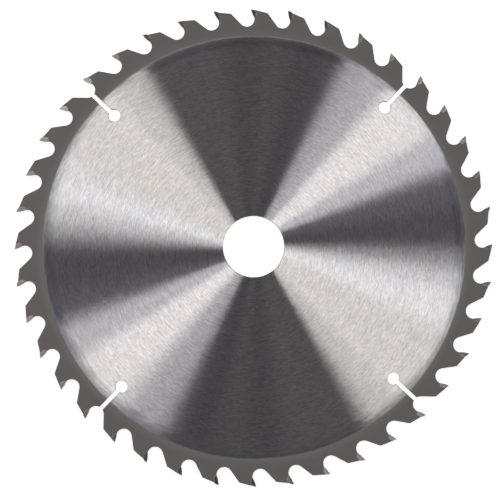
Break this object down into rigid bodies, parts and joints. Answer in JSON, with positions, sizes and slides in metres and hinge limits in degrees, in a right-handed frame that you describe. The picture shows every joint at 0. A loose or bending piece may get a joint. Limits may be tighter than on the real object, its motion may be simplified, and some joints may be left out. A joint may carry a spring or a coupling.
{
  "type": "circular saw blade",
  "caption": "Flat steel circular saw blade with brazed carbide tips, alternate bevelled tops, a plain arbor bore and radial expansion slots.",
  "frame": {"origin": "centre of the arbor bore at the middle of the plate's thickness", "axes": "+Z along the bore's axis, +X and +Y halfway between the expansion slots; seen from +Z the teeth point counterclockwise"},
  "size_m": [0.235, 0.235, 0.0026],
  "materials": {
    "plate_steel": "ground in circles up to the teeth, blasted matt round the rim",
    "tungsten_carbide": "fine ground",
    "braze_alloy": "silver braze, as blasted"
  },
  "bodies": {
    "root": {"blade_body": "plate_steel", "carbide_tip_01": "tungsten_carbide", "carbide_tip_02": "tungsten_carbide", "carbide_tip_03": "tungsten_carbide", "carbide_tip_04": "tungsten_carbide", "carbide_tip_05": "tungsten_carbide", "carbide_tip_06": "tungsten_carbide", "carbide_tip_07": "tungsten_carbide", "carbide_tip_08": "tungsten_carbide", "carbide_tip_09": "tungsten_carbide", "carbide_tip_10": "tungsten_carbide", "carbide_tip_11": "tungsten_carbide", "carbide_tip_12": "tungsten_carbide", "carbide_tip_13": "tungsten_carbide", "carbide_tip_14": "tungsten_carbide", "carbide_tip_15": "tungsten_carbide", "carbide_tip_16": "tungsten_carbide", "carbide_tip_17": "tungsten_carbide", "carbide_tip_18": "tungsten_carbide", "carbide_tip_19": "tungsten_carbide", "carbide_tip_20": "tungsten_carbide", "carbide_tip_21": "tungsten_carbide", "carbide_tip_22": "tungsten_carbide", "carbide_tip_23": "tungsten_carbide", "carbide_tip_24": "tungsten_carbide", "carbide_tip_25": "tungsten_carbide", "carbide_tip_26": "tungsten_carbide", "carbide_tip_27": "tungsten_carbide", "carbide_tip_28": "tungsten_carbide", "carbide_tip_29": "tungsten_carbide", "carbide_tip_30": "tungsten_carbide", "carbide_tip_31": "tungsten_carbide", "carbide_tip_32": "tungsten_carbide", "carbide_tip_33": "tungsten_carbide", "carbide_tip_34": "tungsten_carbide", "carbide_tip_35": "tungsten_carbide", "carbide_tip_36": "tungsten_carbide", "carbide_tip_37": "tungsten_carbide", "carbide_tip_38": "tungsten_carbide", "carbide_tip_39": "tungsten_carbide", "carbide_tip_40": "tungsten_carbide", "braze_seams": "braze_alloy"}
  },
  "joints": []
}
